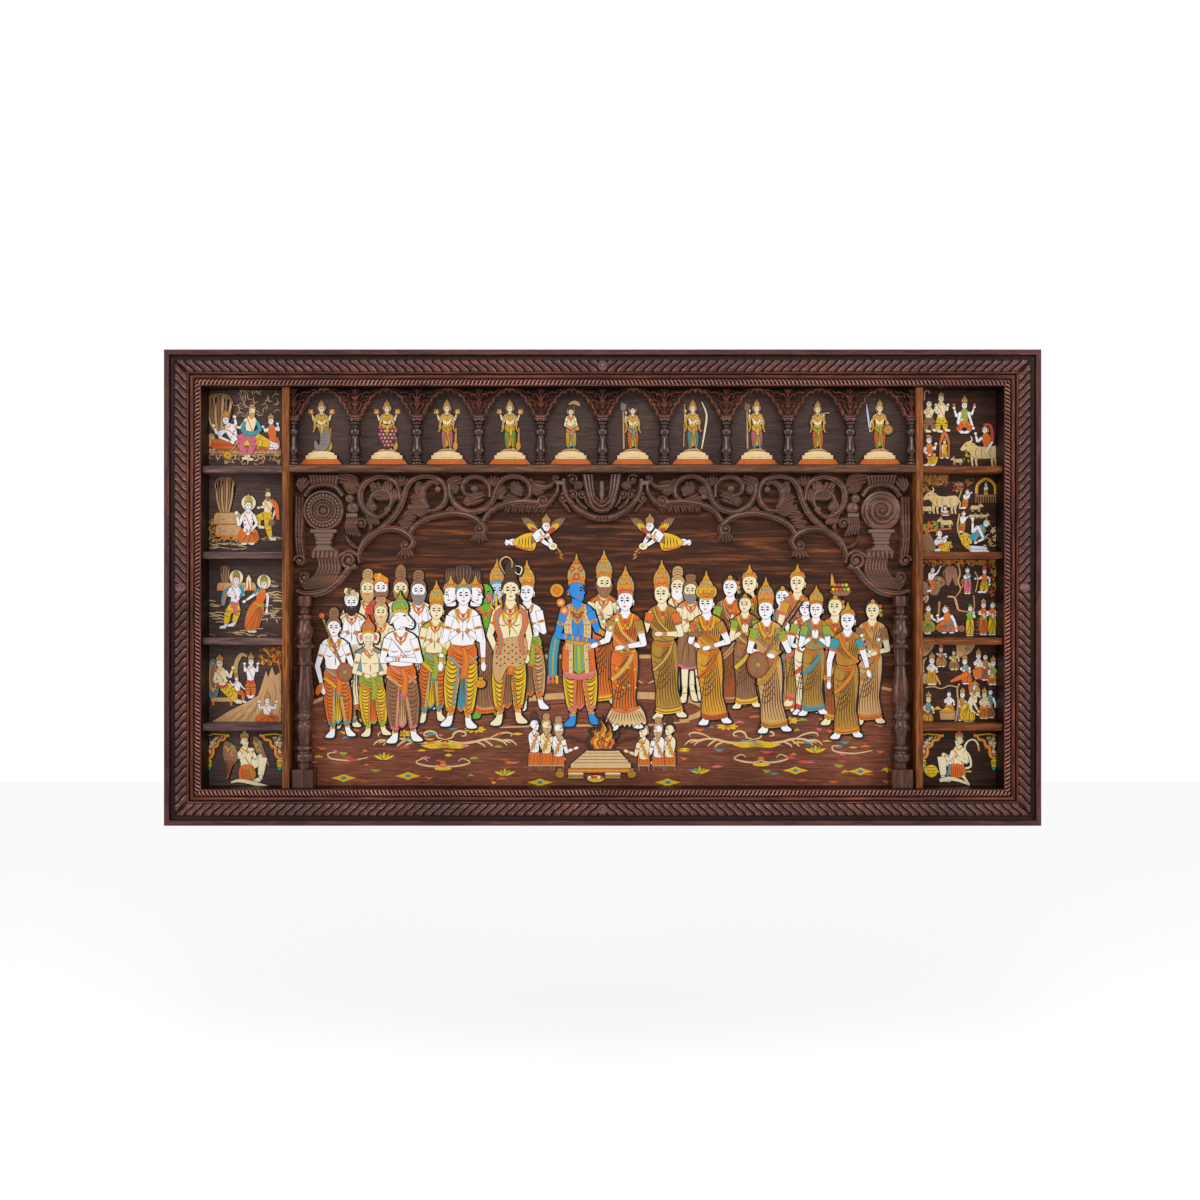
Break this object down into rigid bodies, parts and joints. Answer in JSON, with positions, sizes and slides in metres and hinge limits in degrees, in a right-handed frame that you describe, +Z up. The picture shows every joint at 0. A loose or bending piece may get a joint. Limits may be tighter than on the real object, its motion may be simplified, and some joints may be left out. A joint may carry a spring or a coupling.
{
  "type": "wood inlay panel",
  "caption": "Wide carved hardwood wall panel with figures inlaid in coloured woods, side niches, an arcade and a carved arch on turned columns.",
  "frame": {"origin": "centre of the flat back", "axes": "+Z up, +X along the width to the right of someone who faces the panel, +Y into the wall; the face looks towards -Y"},
  "size_m": [3.048, 0.118, 1.655],
  "materials": {
    "frame_rosewood": "carved and waxed rosewood, semi-gloss",
    "shelf_rosewood": "planed rosewood, semi-gloss, reddish grain",
    "board_rosewood": "polished rosewood veneer with orange-brown streaks along its length",
    "turned_rosewood": "turned and polished dark rosewood",
    "carved_rosewood": "carved rosewood, worn bright on its crests",
    "niche_tablet": "dark veneer tablet with raised picture of light and stained woods",
    "figure_inlay": "figures cut from light, golden, orange, green, blue and brown woods, satin"
  },
  "bodies": {
    "root": {"backboard": "board_rosewood", "frame_rail_bottom": "frame_rosewood", "frame_rail_top": "frame_rosewood", "frame_rail_left": "frame_rosewood", "frame_rail_right": "frame_rosewood", "divider_left": "shelf_rosewood", "divider_right": "shelf_rosewood", "arcade_shelf": "shelf_rosewood", "side_shelf_left_1": "shelf_rosewood", "side_shelf_left_2": "shelf_rosewood", "side_shelf_left_3": "shelf_rosewood", "side_shelf_left_4": "shelf_rosewood", "side_scene_left_1": "niche_tablet", "side_scene_left_2": "niche_tablet", "side_scene_left_3": "niche_tablet", "side_scene_left_4": "niche_tablet", "side_scene_left_5": "niche_tablet", "great_column_left": "turned_rosewood", "arch_left": "carved_rosewood", "winged_figure_left": "figure_inlay", "side_shelf_right_1": "shelf_rosewood", "side_shelf_right_2": "shelf_rosewood", "side_shelf_right_3": "shelf_rosewood", "side_shelf_right_4": "shelf_rosewood", "side_scene_right_1": "niche_tablet", "side_scene_right_2": "niche_tablet", "side_scene_right_3": "niche_tablet", "side_scene_right_4": "niche_tablet", "side_scene_right_5": "niche_tablet", "great_column_right": "turned_rosewood", "arch_right": "carved_rosewood", "winged_figure_right": "figure_inlay", "arch_crest": "carved_rosewood", "arcade_fretwork": "carved_rosewood", "colonnette_01": "turned_rosewood", "colonnette_02": "turned_rosewood", "colonnette_03": "turned_rosewood", "colonnette_04": "turned_rosewood", "colonnette_05": "turned_rosewood", "colonnette_06": "turned_rosewood", "colonnette_07": "turned_rosewood", "colonnette_08": "turned_rosewood", "colonnette_09": "turned_rosewood", "colonnette_10": "turned_rosewood", "colonnette_11": "turned_rosewood", "niche_figure_01": "figure_inlay", "niche_figure_02": "figure_inlay", "niche_figure_03": "figure_inlay", "niche_figure_04": "figure_inlay", "niche_figure_05": "figure_inlay", "niche_figure_06": "figure_inlay", "niche_figure_07": "figure_inlay", "niche_figure_08": "figure_inlay", "niche_figure_09": "figure_inlay", "niche_figure_10": "figure_inlay", "court_left": "figure_inlay", "court_centre": "figure_inlay", "court_right": "figure_inlay", "fire_altar_group": "figure_inlay"}
  },
  "joints": []
}
